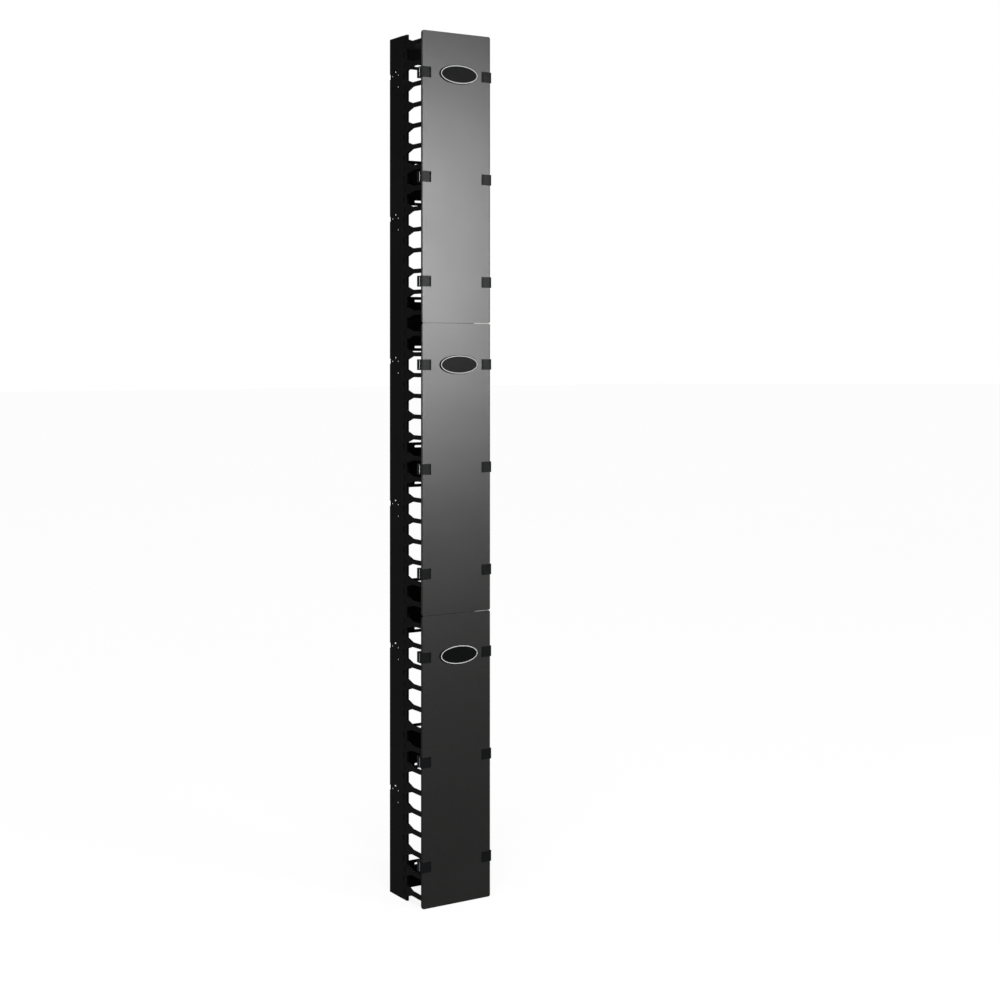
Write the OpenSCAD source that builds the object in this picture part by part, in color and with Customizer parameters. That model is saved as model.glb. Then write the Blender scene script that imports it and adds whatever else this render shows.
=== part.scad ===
// Vertical cable manager for an open frame rack, made of three equal sections stacked on each other.
// Each section is a folded steel backbone with two moulded finger ducts snapped over its front lips,
// and a flat cover whose clips turn on hinge pins at either side. X is across, with the rack at +X.
// Y runs to the back and Z up. The origin is on the floor line, in the middle of the width and depth.

/* [Rack grid] */
// Height of one rack unit, and so the pitch of the fingers
rack_unit = 44.45; // [42:0.05:48]
// Rack units covered by one section
section_units = 14; // [12:2:16]

/* [Backbone] */
// Width over the backbone and the ducts
body_w = 169; // [150:1:220]
// Depth of the steel flange behind the duct
spine_depth = 62; // [58:1:90]
// Thickness of the folded sheet
sheet_t = 1.5; // [1.2:0.1:2]
// Inside radius of the folds
fold_r = 1.5; // [1:0.5:3]
// Height of the cross plate in the middle of a section
mid_plate_h = 99; // [80:1:130]
// Height of the cross plate at each end of a section
end_plate_h = 60; // [40:1:80]
// Width of steel left beside the rear windows
window_side = 14.5; // [10:0.5:25]
// Corner radius of the rear windows
window_r = 5; // [3:0.5:8]
// Length of the strap slots
strap_slot_l = 44; // [30:1:60]
// Width of the strap slots
strap_slot_w = 4.5; // [3:0.5:7]
// Distance from a strap slot to the free edge of its plate
strap_slot_edge = 9; // [7:0.5:14]
// Height of the notches in the rear folds
notch_h = 11; // [8:0.5:16]
// Depth of the notches in the rear folds
notch_d = 5; // [3:0.5:7]
// Length of the locating slots in the flanges
locate_l = 8; // [6:0.5:10]
// Width of the locating slots in the flanges
locate_w = 3; // [2:0.5:4]
// Distance of the locating slots above the mounting holes
locate_up = 8; // [7:0.5:10]

/* [Rack mounting] */
// Distance from the top of a section down to its first mounting button
button_drop = 95; // [85:1:105]
// Distance from the back face to the mounting buttons
button_set = 26.7; // [24:0.1:32]
// Hole spacing of the mounting pattern, both ways
hole_pitch = 25.4; // [22:0.1:30]
// Hole diameter of the mounting pattern on the free side
hole_d = 4.2; // [3.6:0.1:4.4]
// Hole diameter of the mounting pattern under the button plates
plate_hole_d = 4.8; // [4.8:0.1:5]
// Thickness of the button plates
plate_t = 2.5; // [2:0.1:4]
// Height of the button plates
plate_h = 42; // [40:1:56]
// Depth of the button plates
plate_w = 38; // [37:1:46]
// Corner radius of the button plates
plate_r = 4; // [2:0.5:6]
// Diameter of the button heads
button_head_d = 12.5; // [11:0.5:15]
// Thickness of the button heads
button_head_t = 2.5; // [2:0.1:4]
// Diameter of the button necks
button_neck_d = 7.5; // [6:0.5:9]
// Length of the button necks
button_neck_l = 2.2; // [1.6:0.1:3]
// Diameter of the plate screws
screw_d = 3.9; // [3:0.1:4]
// Diameter of the countersunk screw heads
screw_head_d = 7.8; // [7:0.1:8]
// Width across the flats of the screws' hexagon sockets
socket_af = 2.5; // [2:0.1:3]
// Depth of the screws' hexagon sockets
socket_t = 1.4; // [1:0.1:1.6]
// How far the screws stand out of their nuts
screw_over = 1; // [0.5:0.1:2]
// Width across the flats of the plate nuts
nut_af = 7; // [6:0.5:8]
// Thickness of the plate nuts
nut_t = 3.2; // [2.4:0.1:4]

/* [Finger ducts] */
// Wall thickness of the ducts
duct_t = 2.5; // [2:0.1:3.2]
// Depth of the strip that the fingers grow from
strip_d = 17.6; // [16:0.2:24]
// Gap between the ducts of neighbouring sections
duct_gap = 0.8; // [0.2:0.1:2]
// Length of the fingers, from the strip to their tips
finger_l = 60; // [45:1:80]
// Height of a finger
finger_h = 9.3; // [8:0.1:12]
// How much taller a finger gets at its root, above and below
flare_h = 7; // [3:0.5:9]
// Length over which a finger flares
flare_l = 22; // [12:1:30]
// Width of the stiffening ribs along the fingers
rib_w = 1.8; // [1.2:0.1:2.4]
// Height of the stiffening ribs above the wall
rib_h = 2.6; // [2:0.1:3]
// Reach of the retaining lips at the finger tips
lip_l = 14; // [12.5:0.5:20]
// Thickness of the retaining lips
lip_t = 3.3; // [2.6:0.1:4]
// Height of the slots in the strip
tie_slot_h = 14; // [8:1:20]
// Width of the slots in the strip
tie_slot_w = 4.4; // [3:0.1:5]
// Distance from the slots to the back of the strip
tie_slot_edge = 1.8; // [1.5:0.1:2.5]
// Height of the snap hooks
snap_h = 14; // [10:0.5:18]
// Depth of the snap hooks
snap_w = 8.6; // [6:0.2:9]
// How far the snap hooks catch behind the steel
snap_catch = 1; // [0.6:0.1:1.4]
// Distance from the strip's front rib to the snap hooks
snap_set = 1.6; // [1.4:0.1:2]
// Thickness of the snap hooks behind the steel
snap_t = 1.8; // [1.4:0.1:2]
// Depth of the recess in the wall outside each snap hook
snap_recess = 0.6; // [0.3:0.1:0.8]

/* [Cover] */
// How far the cover stands past the ducts on each side
cover_over = 1; // [0.5:0.1:1.4]
// Thickness of the cover
cover_t = 1.5; // [1:0.1:2]
// Depth of the folded side edges of the cover
cover_fold = 3.5; // [3:0.1:4]
// Corner radius of the cover
cover_r = 6; // [3:0.5:12]
// Gap between neighbouring covers
cover_gap = 3; // [2:0.5:6]
// Distance from the front of the cover back to the finger tips
cover_stand = 7; // [6:0.1:8]
// Width of the oval badge
badge_w = 93; // [60:1:110]
// Height of the oval badge
badge_h = 41; // [25:1:50]
// Thickness of the oval badge
badge_t = 4; // [2:0.5:6]
// Bevel around the oval badge
badge_bevel = 1.2; // [0.5:0.1:1.8]
// Sideways place of the oval badge
badge_x = 5; // [-10:0.5:10]
// Width of the badge's raised rim
badge_rim = 3; // [2:0.5:5]
// Depth of the badge's field below its rim
badge_sink = 0.4; // [0.2:0.1:0.6]

/* [Hinges] */
// Height of a hinge
hinge_h = 23; // [18:0.5:25]
// Distance from a section's end to its outer hinges, in rack units
hinge_unit = 2; // [1:1:3]
// Width of the tab on the front of the cover
tab_w = 22.5; // [18:0.5:28]
// Width of the sloping sides of the tab
tab_slope = 4; // [3:0.5:5]
// Depth of the two shallow panels in the tab
panel_t = 0.4; // [0.2:0.1:0.5]
// Width of the border around the tab's panels
panel_edge = 1.8; // [1.4:0.1:2.4]
// Thickness of the clip walls
clip_t = 1.4; // [1.2:0.1:1.6]
// Diameter of the hinge pins
pin_d = 3; // [2.5:0.1:3.2]
// Distance from the front of the cover back to the hinge pins
pin_set = 10.8; // [10.4:0.1:11.4]
// Wall of the clip around its pin
hook_wall = 1.35; // [1.2:0.05:1.6]
// Thickness of the cheeks that hold a pin's ends
cheek_t = 2; // [1.6:0.1:3]
// Depth of the hinge block behind the lips
block_d = 12.1; // [10:0.1:14]
// Thickness of the jaws that grip the hinge bar
jaw_t = 1.7; // [1.2:0.1:1.9]
// Distance from the duct's side to the hinge bar
bar_set = 7; // [6.9:0.1:8]
// Width of the hinge bar between two finger lips
bar_w = 4; // [3:0.1:4.5]
// Height of the barbs that hold the jaws on the hinge bar
barb = 0.5; // [0.3:0.1:0.7]

/* [Fits] */
// Running clearance of a pin in its bore, all round
pin_fit = 0.05; // [0.02:0.01:0.1]
// Clearance of a moulded piece in its seat
seat_fit = 0.1; // [0.05:0.05:0.2]
// Side clearance between pieces that turn past each other
swing_gap = 0.3; // [0.2:0.1:0.6]

/* [Hidden] */
$fn = 32;

// Heights
section_h = section_units * rack_unit;
hinge_heights = [
  hinge_unit * rack_unit,
  section_h / 2,
  section_h - hinge_unit * rack_unit
];
button_heights = [section_h - button_drop - section_h / 2, section_h - button_drop];

// Places along Y, from the cover back to the cross plates
depth = cover_stand + finger_l + strip_d + spine_depth;
cover_y = -depth / 2;
tip_y = cover_y + cover_stand;
root_y = tip_y + finger_l;
spine_y = root_y + strip_d;
back_y = depth / 2;
button_y = back_y - button_set;
pin_y = cover_y + pin_set;
block_y = tip_y + lip_t + seat_fit;

// Places across, as X or as a distance in from the duct's outer side
body_x = body_w / 2;
hook_r = pin_d / 2 + pin_fit + hook_wall;
pin_in = hook_r - clip_t - cover_over;
bore_r = pin_d / 2 + pin_fit;
hook_out = pin_in - pin_d / 4;
hook_back = pin_y + swing_gap;
swing_x = pin_in + hook_r + swing_gap;
hook_h = hinge_h - 2 * (cheek_t + swing_gap);
tail_d = button_neck_d - 1;
cut = 1;

// ---- shared outlines ----

// A rectangle with round corners, centred
module round_rect(w, h, r) {
  square([w - 2 * r, h], center = true);
  square([w, h - 2 * r], center = true);
  for (x = [-1, 1], y = [-1, 1])
    translate([x * (w / 2 - r), y * (h / 2 - r)]) circle(r = r);
}

// A slot with round ends, centred, its length along the first direction
module round_slot(l, w) {
  square([l - w, w], center = true);
  for (x = [-1, 1]) translate([x * (l - w) / 2, 0]) circle(d = w);
}

// A rectangle given by two opposite corners
module rect(x0, y0, x1, y1) {
  translate([x0, y0]) square([x1 - x0, y1 - y0]);
}

// The outer corner of a fold around (x, y), bending from +X to the given direction along Y
module fold(x, y, r_in, r_out, dir) {
  translate([x, y]) mirror([0, dir > 0 ? 0 : 1]) intersection() {
    difference() {
      circle(r = r_out);
      if (r_in > 0) circle(r = r_in);
    }
    square(r_out);
  }
}

// Extrudes an outline drawn in (Y, Z) along +X, from x
module along_x(x, l) {
  translate([x, 0, 0]) rotate([90, 0, 90]) linear_extrude(l) children();
}

// Extrudes an outline drawn in (X, Z) along +Y, from y
module along_y(y, l) {
  translate([0, y + l, 0]) rotate([90, 0, 0]) linear_extrude(l) children();
}

// Turns what is drawn with X as the distance in from the duct's outer side into the left side
module left_side() {
  translate([-body_x, 0, 0]) children();
}

// The same for the right side
module right_side() {
  mirror([1, 0, 0]) left_side() children();
}

// Lifts what is drawn for the bottom section to section n
module section(n) {
  translate([0, 0, n * section_h]) children();
}

// ---- backbone ----

// One side of the folded sheet in (X, Y), from the middle of the back plate to the front lip
module backbone_side() {
  r = fold_r + sheet_t;
  rect(0, back_y - sheet_t, body_x - r, back_y);
  fold(body_x - r, back_y - r, fold_r, r, 1);
  rect(body_x - sheet_t, spine_y + sheet_t, body_x, back_y - r);
  fold(body_x - sheet_t, spine_y + sheet_t, 0, sheet_t, -1);
  rect(body_x - duct_t - sheet_t, spine_y, body_x - sheet_t, spine_y + sheet_t);
  rect(body_x - duct_t - sheet_t, root_y + rib_w + seat_fit, body_x - duct_t, spine_y + cut / 2);
}

// The rear windows and strap slots, drawn in (X, Z)
module rear_openings() {
  window_h = (section_h - mid_plate_h) / 2 - end_plate_h;
  mid = section_h / 2;
  for (s = [-1, 1]) {
    translate([0, mid + s * (mid_plate_h + window_h) / 2])
      round_rect(body_w - 2 * window_side, window_h, window_r);
    translate([0, mid + s * (mid_plate_h / 2 - strap_slot_edge)])
      round_slot(strap_slot_l, strap_slot_w);
    translate([0, mid + s * (section_h / 2 - end_plate_h + strap_slot_edge)])
      round_slot(strap_slot_l, strap_slot_w);
  }
}

// The locating slots, notches, tie slots and snap holes of both flanges, drawn in (Y, Z)
module side_openings() {
  for (z = button_heights) {
    notch_z = z + hole_pitch / 2;
    translate([button_y, notch_z + locate_up]) round_slot(locate_l, locate_w);
    rect(back_y - notch_d, notch_z - notch_h / 2, back_y + cut, notch_z + notch_h / 2);
  }
  tie_slots();
  for (z = finger_heights()) snap_place(z) square([snap_w, snap_h] + [2, 2] * seat_fit, center = true);
}

// Puts its child at the four places of the mounting pattern around height z
module mounting_pattern(z) {
  for (y = [-1, 1], s = [-1, 1])
    translate([button_y + y * hole_pitch / 2, z + s * hole_pitch / 2]) children();
}

module tie_slots() {
  for (n = [1:section_units - 1])
    translate([spine_y - tie_slot_edge - tie_slot_w / 2, n * rack_unit])
      rotate(90) round_slot(tie_slot_h, tie_slot_w);
}

function finger_heights() = [for (n = [0:section_units - 1]) (n + 0.5) * rack_unit];

// The middle of the snap hook beside a finger
module snap_place(z) {
  translate([root_y + rib_w + snap_set + snap_w / 2, z]) children();
}

module backbone() {
  color([0.09, 0.09, 0.095]) difference() {
    linear_extrude(section_h) {
      backbone_side();
      mirror([1, 0]) backbone_side();
    }
    along_y(back_y - sheet_t - cut, sheet_t + 2 * cut) rear_openings();
    along_x(-body_x - cut, body_w + 2 * cut) side_openings();
    for (z = button_heights) {
      along_x(-body_x - cut, sheet_t + 2 * cut) mounting_pattern(z) circle(d = hole_d);
      along_x(body_x - sheet_t - cut, sheet_t + 2 * cut) mounting_pattern(z) circle(d = plate_hole_d);
    }
  }
}

// ---- finger duct ----

// A finger's outline in (Y, Z) around its own middle, drawn inside its edge by the given margin
module finger_outline(margin) {
  tip_h = finger_h / 2 - margin;
  root_h = finger_h / 2 + flare_h - margin;
  bend_y = root_y - flare_l;
  polygon([
    [tip_y + margin, -tip_h], [bend_y, -tip_h], [root_y, -root_h],
    [root_y + cut, -root_h], [root_y + cut, root_h],
    [root_y, root_h], [bend_y, tip_h], [tip_y + margin, tip_h]
  ]);
}

// A finger: a wall with a rib along each edge and a lip turned in at its tip
module finger() {
  along_x(0, duct_t) finger_outline(0);
  along_x(0, duct_t + rib_h) difference() {
    finger_outline(0);
    finger_outline(rib_w);
  }
  along_y(tip_y, lip_t) {
    rect(0, -finger_h / 2, lip_l - finger_h / 2, finger_h / 2);
    translate([lip_l - finger_h / 2, 0]) circle(d = finger_h);
  }
}

// The snap hook that holds the strip to the steel lip, drawn in (X, Y) and extruded up
module snap_hook() {
  x0 = duct_t - cut / 2;
  steel_in = duct_t + sheet_t + seat_fit;
  x1 = steel_in + snap_t;
  y0 = root_y + rib_w + snap_set;
  y1 = y0 + snap_w;
  slope = snap_t * 2 / 3;
  tip = y1 + snap_catch + seat_fit;
  translate([0, 0, -snap_h / 2]) linear_extrude(snap_h) polygon([
    [x0, y0], [x1 - slope, y0], [x1, y0 + slope], [x1, y1 - slope / 2],
    [steel_in + slope / 3, tip], [steel_in, tip], [steel_in, y1], [x0, y1]
  ]);
}

module duct() {
  h = section_h - duct_gap;
  color([0.075, 0.075, 0.08]) difference() {
    union() {
      translate([0, root_y, duct_gap / 2]) cube([duct_t, strip_d, h]);
      translate([0, root_y, duct_gap / 2]) cube([duct_t + rib_h, rib_w, h]);
      for (z = finger_heights()) translate([0, 0, z]) {
        finger();
        snap_hook();
      }
      for (z = hinge_heights) translate([0, 0, z - rack_unit / 2])
        along_x(bar_set, bar_w) rect(tip_y, 0, tip_y + lip_t, rack_unit);
    }
    along_x(-cut, duct_t + 2 * cut) tie_slots();
    along_x(-cut, cut + snap_recess) for (z = finger_heights())
      snap_place(z) square([snap_w, snap_h] - [2, 2] * snap_recess, center = true);
  }
}

// ---- hinges ----

// The moulded base that grips the hinge bar, backs up the pin and holds its ends between two cheeks
module hinge_base() {
  inner_x = bar_set + bar_w + seat_fit + jaw_t;
  color([0.05, 0.05, 0.055]) {
    translate([0, 0, -hinge_h / 2]) linear_extrude(hinge_h) {
      difference() {
        rect(0, block_y, inner_x, block_y + block_d);
        rect(-cut, block_y - cut, swing_x, hook_back + swing_gap);
        translate([pin_in, pin_y]) circle(r = bore_r);
      }
      for (x = [bar_set - seat_fit - jaw_t, bar_set + bar_w + seat_fit])
        rect(x, tip_y - seat_fit - barb, x + jaw_t, block_y + block_d);
      for (s = [0, 1]) translate([bar_set - seat_fit + s * (bar_w + 2 * seat_fit), tip_y - seat_fit])
        mirror([s, 0]) polygon([[-jaw_t / 2, 0], [barb, 0], [0, -barb], [-jaw_t / 2, -barb]]);
    }
    for (s = [0, 1]) mirror([0, 0, s]) translate([0, 0, hinge_h / 2 - cheek_t])
      linear_extrude(cheek_t) difference() {
        union() {
          translate([pin_in, pin_y]) circle(r = hook_r);
          rect(0, pin_y, pin_in + hook_r, block_y + block_d / 2);
          rect(pin_in, block_y, bar_set, block_y + block_d / 2);
        }
        translate([pin_in, pin_y]) circle(r = bore_r);
      }
  }
}

module hinge_pin() {
  color([0.55, 0.55, 0.57]) translate([pin_in, pin_y, -hinge_h / 2]) cylinder(d = pin_d, h = hinge_h);
}

// ---- cover, clips and badge ----

// Half of the cover's folded section in (X, Y)
module cover_side() {
  x = body_x + cover_over;
  rect(0, cover_y, x - cover_t, cover_y + cover_t);
  fold(x - cover_t, cover_y + cover_t, 0, cover_t, -1);
  rect(x - cover_t, cover_y + cover_t, x, cover_y + cover_fold);
}

module cover() {
  w = body_w + 2 * cover_over;
  h = section_h - cover_gap;
  color([0.3, 0.3, 0.31]) intersection() {
    translate([0, 0, cover_gap / 2]) linear_extrude(h) {
      cover_side();
      mirror([1, 0]) cover_side();
    }
    along_y(cover_y - cut, cover_fold + 2 * cut) translate([0, section_h / 2]) round_rect(w, h, cover_r);
  }
}

// The front of the tab in (X, Y), sloping down to both sides
module tab_outline() {
  x0 = -cover_over - clip_t;
  x1 = tab_w - cover_over;
  y0 = cover_y - clip_t;
  polygon([
    [x0, cover_y], [x0, y0 + clip_t / 3], [x0 + tab_slope, y0], [x1 - tab_slope, y0],
    [x1, y0 + clip_t / 2], [x1, cover_y]
  ]);
}

// The clip gripping the cover's edge, with a hook that cradles the hinge pin from its front and inner side
module cover_clip() {
  edge = -cover_over;
  fold_y = cover_y + cover_fold;
  grip_x = edge + cover_t;
  panel_h = (hinge_h - 3 * panel_edge) / 2;
  color([0.05, 0.05, 0.055]) {
    difference() {
      translate([0, 0, -hinge_h / 2]) linear_extrude(hinge_h) {
        tab_outline();
        rect(edge - clip_t, cover_y - clip_t / 2, edge, fold_y);
      }
      for (s = [-1, 1]) translate([0, 0, s * (panel_h + panel_edge) / 2 - panel_h / 2])
        linear_extrude(panel_h) rect(
          edge + tab_slope, cover_y - clip_t - cut, edge + tab_w - tab_slope, cover_y - clip_t + panel_t
        );
    }
    translate([0, 0, -hook_h / 2]) linear_extrude(hook_h) difference() {
      union() {
        rect(edge - clip_t, fold_y - cut, edge, fold_y + clip_t);
        rect(edge - clip_t, fold_y, grip_x + 2 * clip_t, fold_y + clip_t);
        rect(grip_x, cover_y + cover_t, grip_x + 2 * clip_t, fold_y + clip_t);
        rect(grip_x, cover_y + cover_t, edge + tab_w / 2, cover_y + cover_t + clip_t);
        rect(hook_out, fold_y, pin_in + hook_r, hook_back);
      }
      translate([pin_in, pin_y]) circle(r = bore_r);
      rect(hook_out - cut, pin_y, pin_in + bore_r - seat_fit / 5, hook_back + cut);
    }
  }
}

// An oval in (X, Z) of the given width and height
module oval(w, h) {
  polygon([for (a = [0:5:355]) [w / 2 * cos(a), h / 2 * sin(a)]]);
}

// The blank oval badge: bevelled around its front, with a sunk field inside a rim
module badge() {
  front = cover_y - badge_t;
  color([0.04, 0.04, 0.045]) translate([badge_x, 0, section_h - hinge_unit * rack_unit]) difference() {
    union() {
      along_y(front + badge_bevel, badge_t - badge_bevel) oval(badge_w, badge_h);
      translate([0, front + badge_bevel, 0]) rotate([90, 0, 0]) linear_extrude(
        badge_bevel, slices = 1, scale = [1 - 2 * badge_bevel / badge_w, 1 - 2 * badge_bevel / badge_h]
      ) oval(badge_w, badge_h);
    }
    along_y(front - cut, cut + badge_sink)
      oval(badge_w - 2 * (badge_bevel + badge_rim), badge_h - 2 * (badge_bevel + badge_rim));
  }
}

// ---- rack mounting ----

module button_plate() {
  color([0.1, 0.1, 0.1]) difference() {
    along_x(body_x, plate_t) translate([button_y, 0]) round_rect(plate_w, plate_h, plate_r);
    along_x(body_x - cut, plate_t + 2 * cut) {
      mounting_pattern(0) circle(d = plate_hole_d);
      translate([button_y, 0]) circle(d = tail_d + 2 * pin_fit);
    }
    screw_places() screw_head(seat_fit);
  }
}

// Puts its child at each hole of the plate at height 0, with Z along +X from the plate's front
module screw_places() {
  for (y = [-1, 1], z = [-1, 1])
    translate([body_x + plate_t, button_y + y * hole_pitch / 2, z * hole_pitch / 2])
      rotate([0, 90, 0]) children();
}

// A countersunk head below the plate's front, grown by the given clearance
module screw_head(gap) {
  head_t = (screw_head_d - screw_d) / 2;
  translate([0, 0, -head_t]) cylinder(d1 = screw_d + 2 * gap, d2 = screw_head_d + 2 * gap, h = head_t);
}

module plate_screw() {
  shank_l = plate_t + sheet_t + nut_t + screw_over;
  color([0.12, 0.12, 0.12]) screw_places() difference() {
    union() {
      screw_head(0);
      translate([0, 0, -shank_l]) cylinder(d = screw_d, h = shank_l - seat_fit);
    }
    translate([0, 0, -socket_t]) cylinder(r = socket_af / 2 / cos(30), h = socket_t + cut, $fn = 6);
  }
}

module plate_nut() {
  color([0.5, 0.5, 0.52]) screw_places() translate([0, 0, -plate_t - sheet_t - nut_t]) difference() {
    cylinder(r = nut_af / 2 / cos(30), h = nut_t, $fn = 6);
    translate([0, 0, -cut]) cylinder(d = screw_d + 2 * pin_fit, h = nut_t + 2 * cut);
  }
}

// A shouldered button: rivet tail in the plate, neck in the rack's keyhole, and a wide head
module mounting_button() {
  color([0.6, 0.6, 0.62]) translate([body_x, button_y, 0]) rotate([0, 90, 0]) {
    cylinder(d = tail_d, h = plate_t + cut / 2);
    translate([0, 0, plate_t]) cylinder(d = button_neck_d, h = button_neck_l + cut / 2);
    translate([0, 0, plate_t + button_neck_l]) cylinder(d = button_head_d, h = button_head_t);
  }
}

// Puts its child at each hinge height
module at_hinges() {
  for (z = hinge_heights) translate([0, 0, z]) children();
}

// Puts its child at each button height
module at_buttons() {
  for (z = button_heights) translate([0, 0, z]) children();
}

// ---- the nodes ----

section(0) backbone();  // backbone_bottom
section(1) backbone();  // backbone_middle
section(2) backbone();  // backbone_top
section(0) left_side() duct();  // duct_left_bottom
section(1) left_side() duct();  // duct_left_middle
section(2) left_side() duct();  // duct_left_top
section(0) right_side() duct();  // duct_right_bottom
section(1) right_side() duct();  // duct_right_middle
section(2) right_side() duct();  // duct_right_top
section(0) left_side() at_hinges() hinge_base();  // hinge_bases_left_bottom
section(1) left_side() at_hinges() hinge_base();  // hinge_bases_left_middle
section(2) left_side() at_hinges() hinge_base();  // hinge_bases_left_top
section(0) right_side() at_hinges() hinge_base();  // hinge_bases_right_bottom
section(1) right_side() at_hinges() hinge_base();  // hinge_bases_right_middle
section(2) right_side() at_hinges() hinge_base();  // hinge_bases_right_top
section(0) left_side() at_hinges() hinge_pin();  // hinge_pins_left_bottom
section(1) left_side() at_hinges() hinge_pin();  // hinge_pins_left_middle
section(2) left_side() at_hinges() hinge_pin();  // hinge_pins_left_top
section(0) right_side() at_hinges() hinge_pin();  // hinge_pins_right_bottom
section(1) right_side() at_hinges() hinge_pin();  // hinge_pins_right_middle
section(2) right_side() at_hinges() hinge_pin();  // hinge_pins_right_top
section(0) cover();  // cover_bottom
section(1) cover();  // cover_middle
section(2) cover();  // cover_top
section(0) left_side() at_hinges() cover_clip();  // cover_clips_left_bottom
section(1) left_side() at_hinges() cover_clip();  // cover_clips_left_middle
section(2) left_side() at_hinges() cover_clip();  // cover_clips_left_top
section(0) right_side() at_hinges() cover_clip();  // cover_clips_right_bottom
section(1) right_side() at_hinges() cover_clip();  // cover_clips_right_middle
section(2) right_side() at_hinges() cover_clip();  // cover_clips_right_top
section(0) badge();  // badge_bottom
section(1) badge();  // badge_middle
section(2) badge();  // badge_top
section(0) at_buttons() button_plate();  // button_plates_bottom
section(1) at_buttons() button_plate();  // button_plates_middle
section(2) at_buttons() button_plate();  // button_plates_top
section(0) at_buttons() mounting_button();  // mounting_buttons_bottom
section(1) at_buttons() mounting_button();  // mounting_buttons_middle
section(2) at_buttons() mounting_button();  // mounting_buttons_top
section(0) at_buttons() plate_screw();  // plate_screws_bottom
section(1) at_buttons() plate_screw();  // plate_screws_middle
section(2) at_buttons() plate_screw();  // plate_screws_top
section(0) at_buttons() plate_nut();  // plate_nuts_bottom
section(1) at_buttons() plate_nut();  // plate_nuts_middle
section(2) at_buttons() plate_nut();  // plate_nuts_top
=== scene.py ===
import math

import bmesh
import bpy
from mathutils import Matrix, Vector


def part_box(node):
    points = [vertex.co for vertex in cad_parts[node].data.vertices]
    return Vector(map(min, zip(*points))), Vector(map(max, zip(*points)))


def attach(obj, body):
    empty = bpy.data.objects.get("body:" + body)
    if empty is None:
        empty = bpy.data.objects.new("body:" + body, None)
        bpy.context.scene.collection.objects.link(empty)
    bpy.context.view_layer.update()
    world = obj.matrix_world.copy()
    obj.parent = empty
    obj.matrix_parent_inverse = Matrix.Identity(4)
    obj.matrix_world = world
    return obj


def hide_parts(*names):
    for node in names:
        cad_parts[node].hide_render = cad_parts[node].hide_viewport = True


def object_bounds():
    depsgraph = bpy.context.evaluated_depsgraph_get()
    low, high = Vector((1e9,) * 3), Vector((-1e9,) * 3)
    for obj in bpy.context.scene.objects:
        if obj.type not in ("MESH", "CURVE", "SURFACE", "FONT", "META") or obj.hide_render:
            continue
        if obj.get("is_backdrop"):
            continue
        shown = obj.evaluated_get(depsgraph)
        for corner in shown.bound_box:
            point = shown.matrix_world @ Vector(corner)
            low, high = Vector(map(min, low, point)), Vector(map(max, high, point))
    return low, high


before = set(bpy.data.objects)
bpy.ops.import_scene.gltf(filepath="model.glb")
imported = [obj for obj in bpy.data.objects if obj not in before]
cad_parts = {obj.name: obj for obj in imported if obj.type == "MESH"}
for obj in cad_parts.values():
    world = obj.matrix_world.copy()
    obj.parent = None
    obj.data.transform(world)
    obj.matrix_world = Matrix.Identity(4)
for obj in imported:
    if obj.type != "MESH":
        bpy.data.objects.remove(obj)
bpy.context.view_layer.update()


# ---- Camera: stands to the left of the covers at chest height and looks level, past the covers to the
# rack side. The lens is shifted down instead of tilting it, so that upright edges stay upright.
CAMERA_PLACE, CAMERA_TURN = (-1.850, -3.210, 1.187), math.radians(32)
FILM_WIDTH, LENS, LENS_SHIFT = 36, 61.06, -0.150
NEAREST, FARTHEST = 0.05, 60
camera = bpy.data.objects.new("camera", bpy.data.cameras.new("camera"))
bpy.context.scene.collection.objects.link(camera)
bpy.context.scene.camera = camera
camera.location = CAMERA_PLACE
camera.rotation_euler = (math.pi / 2, 0, -CAMERA_TURN)
camera.data.sensor_width, camera.data.lens = FILM_WIDTH, LENS
camera.data.shift_y = LENS_SHIFT
camera.data.clip_start, camera.data.clip_end = NEAREST, FARTHEST
bpy.context.scene.view_settings.view_transform = "Standard"


# ---- Floor and studio: a pale painted floor in a white room. The room is white where it is looked at,
# and a quiet grey where it only lights or is mirrored, so that the black parts keep their depth.
class Value:
    """One value in a material's tree: operators add Math nodes, and node() adds any other node."""

    def __init__(self, tree, socket=None):
        self.tree, self.socket = tree, socket

    def node(self, kind, settings=None, sockets=None, out=0):
        made = self.tree.nodes.new(kind)
        for name, value in (settings or {}).items():
            setattr(made, name, value)
        for name, value in (sockets or {}).items():
            if isinstance(value, Value):
                self.tree.links.new(value.socket, made.inputs[name])
            else:
                made.inputs[name].default_value = value
        return Value(self.tree, made.outputs[out])

    def math(self, operation, first, second=0.0, clamp=False):
        settings = {"operation": operation, "use_clamp": clamp}
        return self.node("ShaderNodeMath", settings, {0: first, 1: second})

    def __add__(self, other):
        return self.math("ADD", self, other)

    def __sub__(self, other):
        return self.math("SUBTRACT", self, other)

    def __mul__(self, other):
        return self.math("MULTIPLY", self, other)

    def __truediv__(self, other):
        return self.math("DIVIDE", self, other)

    def __rsub__(self, other):
        return self.math("SUBTRACT", other, self)

    __radd__, __rmul__ = __add__, __mul__

    def between(self, low, high):
        """0 below low, 1 above high, and a smooth step between."""
        sockets = {"Value": self, "From Min": low, "From Max": high}
        return self.node("ShaderNodeMapRange", {"interpolation_type": "SMOOTHSTEP"}, sockets)

    def mix(self, first, second):
        """The first colour where this value is 0 and the second where it is 1."""
        return self.node("ShaderNodeMix", {"data_type": "RGBA"}, {0: self, 6: first, 7: second}, out=2)


def room_light(tree):
    """1 where the camera looks straight at a surface and 0 elsewhere."""
    return Value(tree).node("ShaderNodeLightPath")


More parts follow.
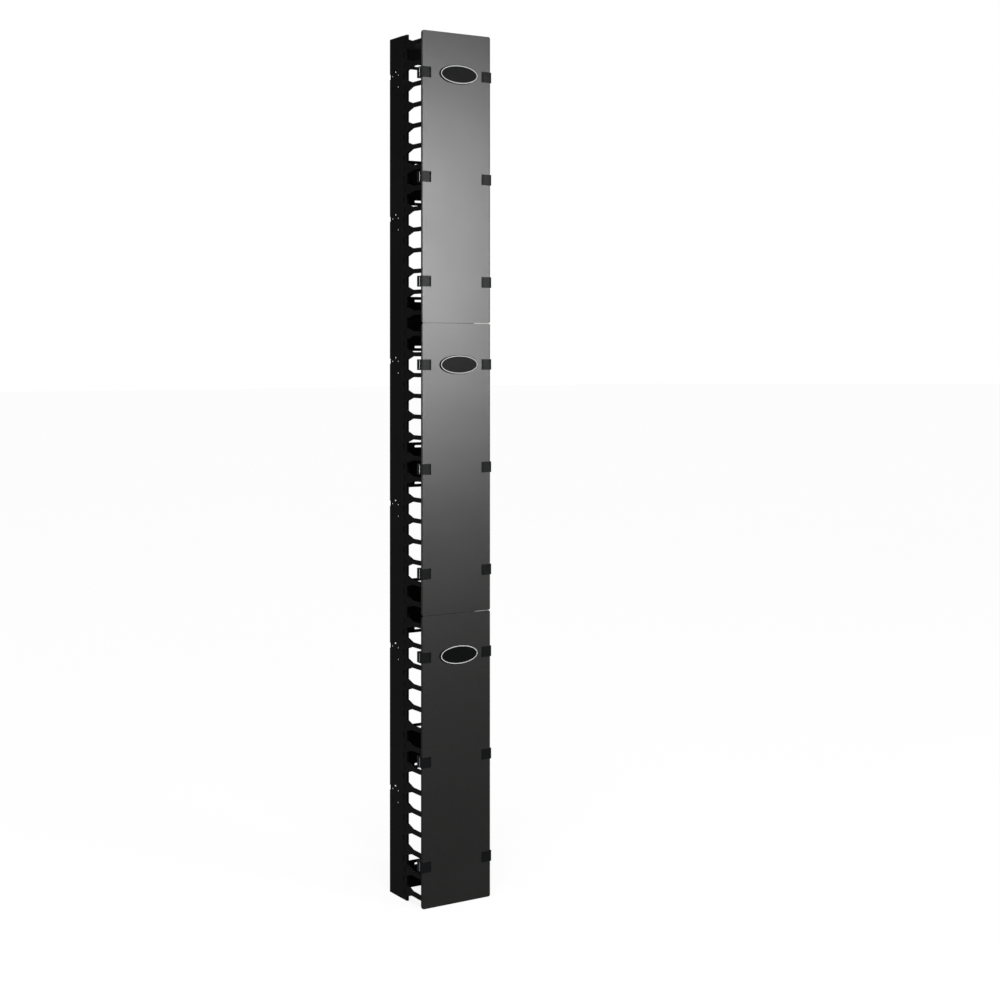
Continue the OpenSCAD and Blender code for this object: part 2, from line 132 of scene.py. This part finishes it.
# How bright the room is where it lights a piece, and where a piece mirrors it. It is 1 where it is seen.
ROOM_LIGHT, ROOM_MIRRORED = 0.34, 0.06
world = bpy.data.worlds.new("studio")
bpy.context.scene.world = world
world.use_nodes = True
tree = world.node_tree
tree.nodes.clear()
path = room_light(tree)
seen = path.math("ADD", path, Value(tree, path.socket.node.outputs["Is Transmission Ray"]), clamp=True)
mirrored = Value(tree, path.socket.node.outputs["Is Glossy Ray"])
strength = ROOM_LIGHT + seen * (1 - ROOM_LIGHT) + mirrored * (ROOM_MIRRORED - ROOM_LIGHT)
backdrop = strength.node("ShaderNodeBackground", {}, {"Color": (1, 1, 1, 1), "Strength": strength})
output = tree.nodes.new("ShaderNodeOutputWorld")
tree.links.new(backdrop.socket, output.inputs["Surface"])


def start_finish(name, **plain):
    """A material whose shader has these plain values. Returns the material, its shader and an empty Value."""
    material = bpy.data.materials.new(name)
    material.use_nodes = True
    shader = material.node_tree.nodes["Principled BSDF"]
    for socket, value in plain.items():
        shader.inputs[socket.replace("_", " ")].default_value = value
    return material, shader, Value(material.node_tree)


def paint(shader, **links):
    """Joins values to the shader's sockets."""
    for socket, value in links.items():
        value.tree.links.new(value.socket, shader.inputs[socket.replace("_", " ")])


FLOOR_HALF = 45.0
FLOOR_PAINT, FLOOR_GLOW = (0.13, 0.13, 0.13, 1), 0.88
WHITE = (1, 1, 1, 1)
floor_mesh = bpy.data.meshes.new("floor")
corners = [(x * FLOOR_HALF, y * FLOOR_HALF, 0) for x, y in ((-1, -1), (1, -1), (1, 1), (-1, 1))]
floor_mesh.from_pydata(corners, [], [(0, 1, 2, 3)])
floor = bpy.data.objects.new("floor", floor_mesh)
bpy.context.scene.collection.objects.link(floor)
floor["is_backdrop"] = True
material, shader, start = start_finish(
    "floor_paint", Base_Color=FLOOR_PAINT, Specular_IOR_Level=0.2, Emission_Color=WHITE
)
path = room_light(material.node_tree)
speckle = start.node("ShaderNodeTexNoise", {}, {"Scale": 40.0, "Detail": 4.0})
paint(shader, Roughness=0.62 + speckle * 0.16, Emission_Strength=path * FLOOR_GLOW)
floor_mesh.materials.append(material)


def soft_box(name, place, aim, width, height, power):
    """A rectangular lamp of this size in metres and power in watts."""
    lamp = bpy.data.lights.new(name, "AREA")
    lamp.shape, lamp.size, lamp.size_y, lamp.energy = "RECTANGLE", width, height, power
    made = bpy.data.objects.new(name, lamp)
    bpy.context.scene.collection.objects.link(made)
    made.location = place
    made.rotation_euler = (Vector(aim) - Vector(place)).to_track_quat("-Z", "Y").to_euler()


# One box faces the covers from just beside the angle at which a mirror would show it, so that the satin
# paint glows and the duller clips stay dark. A broad box at the left draws a line on the pins.
soft_box("cover_box", place=(1.66, -3.79, 1.60), aim=(0, 0, 1.22), width=1.0, height=1.34, power=76)
soft_box("left_box", place=(-3.2, -0.5, 1.4), aim=(0, 0, 1.0), width=1.4, height=2.2, power=21)
SUN_POWER, SUN_SPREAD, SUN_TILT = 1.6, 28, (24, -14, 0)
sun = bpy.data.objects.new("overhead", bpy.data.lights.new("overhead", "SUN"))
bpy.context.scene.collection.objects.link(sun)
sun.data.energy, sun.data.angle = SUN_POWER, math.radians(SUN_SPREAD)
sun.rotation_euler = [math.radians(turn) for turn in SUN_TILT]


# ---- Backbones: one folded sheet of 1.5 mm steel for each section, with two flanges, rear lips and three
# cross plates. They are powder-coated black after folding, which leaves a fine orange peel.
ROWS = ("bottom", "middle", "top")


def dress(material, *kinds):
    """Gives the material to these nodes of every section."""
    for kind in kinds:
        for row in ROWS:
            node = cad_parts[f"{kind}_{row}"]
            if not node.material_slots:
                node.data.materials.append(material)
            for place in node.material_slots:
                place.link = "OBJECT"
                place.material = material


def place_on(start):
    """The place on the object in metres, in the frame of the object itself."""
    return start.node("ShaderNodeTexCoord", out=3)


def noise(start, size, detail=3.0, rough=0.5):
    """Smooth noise whose lumps are about this size in metres."""
    sockets = {"Vector": place_on(start), "Scale": 1 / size, "Detail": detail, "Roughness": rough}
    return start.node("ShaderNodeTexNoise", {}, sockets)


def bump(start, height, depth, strength=1.0):
    """A normal from a height of 0 to 1 that stands this far off the surface, in metres."""
    return start.node("ShaderNodeBump", {}, {"Height": height, "Distance": depth, "Strength": strength})


STEEL_BLACK, STEEL_DUST = (0.0045, 0.0045, 0.0050, 1), (0.010, 0.0098, 0.0095, 1)
material, shader, start = start_finish("powder_coat", Specular_IOR_Level=0.22)
peel = noise(start, 0.0011, 2.0)
cloud = noise(start, 0.14, 4.0, 0.6).between(0.42, 0.72)
grit = noise(start, 0.0030, 5.0, 0.7).between(0.58, 0.76)
paint(shader, Base_Color=(cloud * 0.5 + grit * 0.25).mix(STEEL_BLACK, STEEL_DUST))
paint(shader, Roughness=0.44 + cloud * 0.10 + peel * 0.08)
paint(shader, Normal=bump(start, peel + grit * 0.3, 0.00006))
dress(material, "backbone", "button_plates")


# ---- Finger ducts: black moulded plastic, one piece for each side of a section. The mould leaves a fine
# spark texture on the walls, and the melt leaves faint flow marks along the fingers.
DUCT_BLACK, DUCT_WORN = (0.0042, 0.0042, 0.0046, 1), (0.009, 0.009, 0.009, 1)
material, shader, start = start_finish("duct_plastic", Specular_IOR_Level=0.22)
spark = noise(start, 0.0007, 2.0, 0.6)
along = start.node("ShaderNodeMapping", {}, {"Vector": place_on(start), "Scale": (60.0, 12.0, 60.0)})
flow = start.node("ShaderNodeTexNoise", {}, {"Vector": along, "Scale": 1.0, "Detail": 4.0, "Distortion": 0.6})
flow = flow.between(0.40, 0.70)
paint(shader, Base_Color=(flow * 0.45).mix(DUCT_BLACK, DUCT_WORN))
paint(shader, Roughness=0.46 + flow * 0.12 + spark * 0.06)
paint(shader, Normal=bump(start, spark + flow * 0.2, 0.00004))
dress(material, "duct_left", "duct_right")


# ---- Hinge bases: nylon blocks that grip the bar between two finger lips and hold the pins' ends. They
# come from a polished mould, so they shine more than the ducts.
BASE_BLACK = (0.0075, 0.0075, 0.0080, 1)
material, shader, start = start_finish("base_plastic", Base_Color=BASE_BLACK)
sink = noise(start, 0.006, 2.0)
haze = noise(start, 0.0016, 3.0).between(0.45, 0.75)
paint(shader, Roughness=0.26 + haze * 0.14 + sink * 0.06)
paint(shader, Normal=bump(start, sink, 0.00010))
dress(material, "hinge_bases_left", "hinge_bases_right")


# ---- Hinge pins: drawn steel wire, 3 mm thick, cut to length and zinc plated. Faint drawing marks run
# along them.
ZINC, ZINC_DARK = (0.78, 0.79, 0.81, 1), (0.60, 0.61, 0.64, 1)
material, shader, start = start_finish("drawn_zinc", Metallic=1.0)
along = start.node("ShaderNodeMapping", {}, {"Vector": place_on(start), "Scale": (4000.0, 4000.0, 90.0)})
drawn = start.node("ShaderNodeTexNoise", {}, {"Vector": along, "Scale": 1.0, "Detail": 3.0})
paint(shader, Base_Color=drawn.between(0.35, 0.75).mix(ZINC, ZINC_DARK))
paint(shader, Roughness=0.16 + drawn * 0.12)
paint(shader, Normal=bump(start, drawn, 0.00002))
dress(material, "hinge_pins_left", "hinge_pins_right")


# ---- Covers: flat 1.5 mm steel with both long edges folded back to an outer radius of 2.5 mm, painted satin
# black. The three nearly meet. The smooth paint mirrors the room as a soft sheen that fades to the floor.
COVER_BLACK, COVER_DUST = (0.0052, 0.0047, 0.0043, 1), (0.0110, 0.0102, 0.0096, 1)
material, shader, start = start_finish("cover_paint", Specular_IOR_Level=0.75)
peel = noise(start, 0.0016, 2.0)
wave = noise(start, 0.045, 2.0)
dust = noise(start, 0.30, 5.0, 0.6).between(0.40, 0.75)
fleck = noise(start, 0.0022, 3.0, 0.7).between(0.66, 0.74)
paint(shader, Base_Color=(dust * 0.4 + fleck * 0.3).mix(COVER_BLACK, COVER_DUST))
paint(shader, Roughness=0.30 + dust * 0.03 + peel * 0.03)
paint(shader, Normal=bump(start, peel + wave * 2.0, 0.00004))

# Height of a section, gap between covers, thickness of the sheet, and radius of its folds and of its corners
SECTION_H, COVER_SEAM = 0.6223, 0.0006
SHEET, BEND, CORNER = 0.0015, 0.0025, 0.006
BEND_STEPS, CORNER_STEPS = 8, 6
SMOOTH_BELOW = math.radians(30)


def half_profile(half, front, back, depth):
    """The sheet's line in (X, Y) from its middle to the end of the fold, this deep below its outer face."""
    line = [(0.0, front + depth)]
    for step in range(CORNER_STEPS):
        line.append((half - CORNER + (CORNER - BEND) * step / CORNER_STEPS, front + depth))
    for step in range(BEND_STEPS + 1):
        turn = math.pi / 2 * step / BEND_STEPS
        reach = BEND - depth
        line.append((half - BEND + reach * math.sin(turn), front + BEND - reach * math.cos(turn)))
    return line + [(half - depth, back)]


def cut_back(x, half):
    """How far the round corner takes the sheet's end back at this distance from the middle."""
    along = max(0.0, abs(x) - (half - CORNER))
    return CORNER - math.sqrt(max(0.0, CORNER ** 2 - along ** 2))


def folded_sheet(name, half, front, back, low_end, high_end):
    """The mesh of a cover with this half width, from front to back and from its low to its high end."""
    rings = []
    for depth in (0.0, SHEET):
        right = half_profile(half, front, back, depth)
        rings.append([(-x, y) for x, y in reversed(right[1:])] + right)
    count = len(rings[0])
    points = []
    for end, inward in ((low_end, 1), (high_end, -1)):
        for ring in rings:
            points += [(x, y, end + inward * cut_back(x, half)) for x, y in ring]
    outer, inner, outer_top, inner_top = (n * count for n in range(4))
    faces = []
    for n in range(count - 1):
        for near, far in ((outer, outer_top), (inner, inner_top), (outer, inner), (outer_top, inner_top)):
            faces.append((near + n, near + n + 1, far + n + 1, far + n))
    for n in (0, count - 1):
        faces.append((outer + n, inner + n, inner_top + n, outer_top + n))
    mesh = bpy.data.meshes.new(name)
    mesh.from_pydata(points, [], faces)
    shell = bmesh.new()
    shell.from_mesh(mesh)
    bmesh.ops.recalc_face_normals(shell, faces=shell.faces)
    shell.to_mesh(mesh)
    shell.free()
    mesh.shade_smooth()
    mesh.set_sharp_from_angle(angle=SMOOTH_BELOW)
    return mesh


for row, kind in enumerate(ROWS):
    low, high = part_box(f"cover_{kind}")
    ends = row * SECTION_H + COVER_SEAM / 2, (row + 1) * SECTION_H - COVER_SEAM / 2
    mesh = folded_sheet(f"folded_cover_{kind}", high[0], low[1], high[1], *ends)
    mesh.materials.append(material)
    sheet = bpy.data.objects.new(f"folded_cover_{kind}", mesh)
    bpy.context.scene.collection.objects.link(sheet)
    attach(sheet, f"cover_{kind}")
    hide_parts(f"cover_{kind}")


# ---- Cover clips: black moulded plastic with a soft shine. Each grips the cover's folded edge and hooks
# round a hinge pin. The tab on the front has sloping sides and two shallow panels.
CLIP_BLACK = (0.0060, 0.0068, 0.0072, 1)
material, shader, start = start_finish("clip_plastic", Base_Color=CLIP_BLACK, Specular_IOR_Level=0.13)
sink = noise(start, 0.007, 2.0)
haze = noise(start, 0.0020, 3.0).between(0.50, 0.78)
paint(shader, Roughness=0.34 + haze * 0.12)
paint(shader, Normal=bump(start, sink, 0.00018))
dress(material, "cover_clips_left", "cover_clips_right")


# ---- Badges: blank raised ovals of black plastic, snapped through the cover. A silver line is hot-stamped
# on the rim, just inside the bevel.
# The badge's middle across and above the foot of its section, and the half sizes of the line's two edges
BADGE_X, BADGE_Z = 0.005, 0.5334
LINE_OUT, LINE_IN = (0.0453, 0.0193), (0.0436, 0.0176)
EDGE_BLUR = 0.015
BADGE_BLACK, SILVER = (0.0050, 0.0052, 0.0056, 1), (0.74, 0.75, 0.76, 1)
material, shader, start = start_finish("badge_plastic", Specular_IOR_Level=0.06)
spot = place_on(start)
across = spot.node("ShaderNodeSeparateXYZ", {}, {"Vector": spot}, 0) - BADGE_X
height = spot.node("ShaderNodeSeparateXYZ", {}, {"Vector": spot}, 2)
up = height.math("MODULO", height, SECTION_H)


def outside(size):
    """0 inside the oval with these half sizes and 1 outside it."""
    x, z = across / size[0], (up - BADGE_Z) / size[1]
    return (x * x + z * z).between(1 - EDGE_BLUR, 1 + EDGE_BLUR)


line = outside(LINE_IN) * (1 - outside(LINE_OUT))
haze = noise(start, 0.003, 3.0).between(0.50, 0.80)
sink = noise(start, 0.012, 2.0)
paint(shader, Base_Color=line.mix(BADGE_BLACK, SILVER))
paint(shader, Roughness=0.30 + haze * 0.10 + line * 0.15)
paint(shader, Normal=bump(start, sink, 0.00012))
dress(material, "badge")


# ---- Mounting buttons: turned steel, riveted into the button plates and zinc plated. The plating is a
# little clouded, with a fine grain.
material, shader, start = start_finish("turned_zinc", Metallic=1.0)
cloud = noise(start, 0.0035, 3.0).between(0.40, 0.70)
paint(shader, Base_Color=cloud.mix(ZINC, ZINC_DARK))
paint(shader, Roughness=0.28 + cloud * 0.14)
paint(shader, Normal=bump(start, noise(start, 0.0006, 2.0), 0.00002))
dress(material, "mounting_buttons")


# ---- Plate screws and nuts: countersunk M4 socket screws in black oxide, and hexagon nuts behind the
# flange, whose zinc has gone dull.
OXIDE, OXIDE_WORN = (0.030, 0.030, 0.034, 1), (0.060, 0.058, 0.056, 1)
material, shader, start = start_finish("black_oxide", Metallic=1.0)
cloud = noise(start, 0.0020, 3.0).between(0.40, 0.70)
paint(shader, Base_Color=cloud.mix(OXIDE, OXIDE_WORN))
paint(shader, Roughness=0.34 + cloud * 0.16)
paint(shader, Normal=bump(start, cloud, 0.00002))
dress(material, "plate_screws")
NUT_ZINC, NUT_DULL = (0.150, 0.150, 0.155, 1), (0.085, 0.085, 0.090, 1)
material, shader, start = start_finish("nut_zinc", Metallic=1.0)
cloud = noise(start, 0.0020, 3.0).between(0.40, 0.70)
paint(shader, Base_Color=cloud.mix(NUT_ZINC, NUT_DULL))
paint(shader, Roughness=0.42 + cloud * 0.16)
paint(shader, Normal=bump(start, cloud, 0.00002))
dress(material, "plate_nuts")


low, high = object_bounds()
